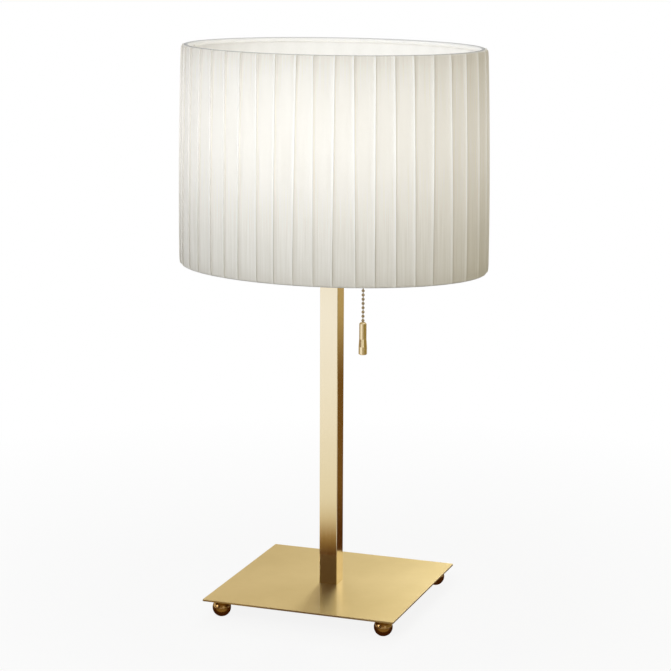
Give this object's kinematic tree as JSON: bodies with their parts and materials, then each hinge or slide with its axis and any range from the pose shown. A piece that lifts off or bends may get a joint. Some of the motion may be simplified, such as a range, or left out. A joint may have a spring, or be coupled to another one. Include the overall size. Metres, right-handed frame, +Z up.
{
  "type": "table lamp",
  "caption": "Table lamp with an oval knife-pleated cloth shade, a square brass post on a thin square plate with ball feet, and a bead pull chain.",
  "frame": {"origin": "on the table, under the middle of the base plate", "axes": "+X along the long axis of the oval shade towards the pull chain, -Y to the front, +Z up"},
  "size_m": [0.3224, 0.2364, 0.573],
  "materials": {
    "satin_brass": "satin, brushed along the grain",
    "polished_brass": "polished, lacquered",
    "holder_brass": "bright, stamped",
    "zinc_steel": "zinc plated",
    "black_plastic": "moulded",
    "porcelain": "unglazed porcelain",
    "fibre_board": "pressed fibre",
    "bulb_metal": "rolled thread",
    "frosted_glass": "frosted inside, lit",
    "white_wire": "white powder coat",
    "white_lining": "translucent sheet",
    "pleated_cloth": "ivory cloth in knife pleats, lit from inside"
  },
  "bodies": {
    "base": {"base_plate": "satin_brass", "ball_foot_front_left": "polished_brass", "ball_foot_front_right": "polished_brass", "ball_foot_back_left": "polished_brass", "ball_foot_back_right": "polished_brass", "foot_studs": "zinc_steel", "post_tube": "satin_brass", "post_foot_plug": "zinc_steel", "post_top_cap": "satin_brass", "threaded_pipe": "zinc_steel", "base_washer": "zinc_steel", "base_nut": "zinc_steel", "top_lock_nut": "zinc_steel", "cord_bushing": "black_plastic", "harp_saddle": "holder_brass", "harp": "holder_brass", "holder_cap": "holder_brass", "holder_set_screw": "zinc_steel", "holder_shell": "holder_brass", "holder_liner": "fibre_board", "switch_block": "porcelain", "terminal_screws": "holder_brass", "screw_shell": "holder_brass", "centre_contact": "holder_brass", "lever_pin": "zinc_steel", "return_spring": "zinc_steel", "chain_guide": "holder_brass", "bulb_tip": "black_plastic", "bulb_cap": "bulb_metal", "bulb_glass": "frosted_glass"},
    "switch_lever": {"switch_lever": "holder_brass"},
    "chain_top": {"chain_top": "polished_brass"},
    "chain_middle": {"chain_middle": "polished_brass"},
    "chain_end": {"chain_lower": "polished_brass", "pull_knob": "polished_brass"},
    "harp_sleeve_front": {"harp_sleeve_front": "holder_brass"},
    "harp_sleeve_back": {"harp_sleeve_back": "holder_brass"},
    "finial": {"finial": "polished_brass"},
    "shade": {"shade_washer": "white_wire", "shade_arm_left": "white_wire", "shade_arm_right": "white_wire", "shade_top_ring": "white_wire", "shade_bottom_ring": "white_wire", "shade_lining": "white_lining", "shade_cloth": "pleated_cloth"}
  },
  "joints": [
    {"name": "chain_pull", "type": "slide", "parent": "base", "child": "chain_top", "axis": [0, 0, -1], "range_m": [0, 0.007], "stiffness_N_per_m": 300, "springref_m": -0.004},
    {"name": "switch_lever_tilt", "type": "hinge", "parent": "base", "child": "switch_lever", "pos_m": [0.004, 0, 0.38395], "axis": [0, 1, 0], "range_deg": [0, 14], "deforming": ["return_spring"]},
    {"name": "chain_swing_side", "type": "hinge", "parent": "chain_top", "child": "chain_middle", "pos_m": [0.0332, 0, 0.36418], "axis": [0, -1, 0], "range_deg": [-9, 30]},
    {"name": "chain_swing_front", "type": "hinge", "parent": "chain_middle", "child": "chain_end", "pos_m": [0.0332, 0, 0.35981], "axis": [1, 0, 0], "range_deg": [-25, 25]},
    {"name": "harp_sleeve_front_lift", "type": "slide", "parent": "base", "child": "harp_sleeve_front", "axis": [0, 0, 1], "range_m": [0, 0.012]},
    {"name": "harp_sleeve_back_lift", "type": "slide", "parent": "base", "child": "harp_sleeve_back", "axis": [0, 0, 1], "range_m": [0, 0.012]},
    {"name": "shade_turn", "type": "hinge", "parent": "base", "child": "shade", "pos_m": [0, 0, 0.54675], "axis": [0, 0, 1], "continuous": true},
    {"name": "finial_turn", "type": "hinge", "parent": "base", "child": "finial", "pos_m": [0, 0, 0.54675], "axis": [0, 0, 1], "continuous": true}
  ],
  "couplings": [
    {"joint": "switch_lever_tilt", "follows": "chain_pull", "rad_per_m": 34.247}
  ]
}
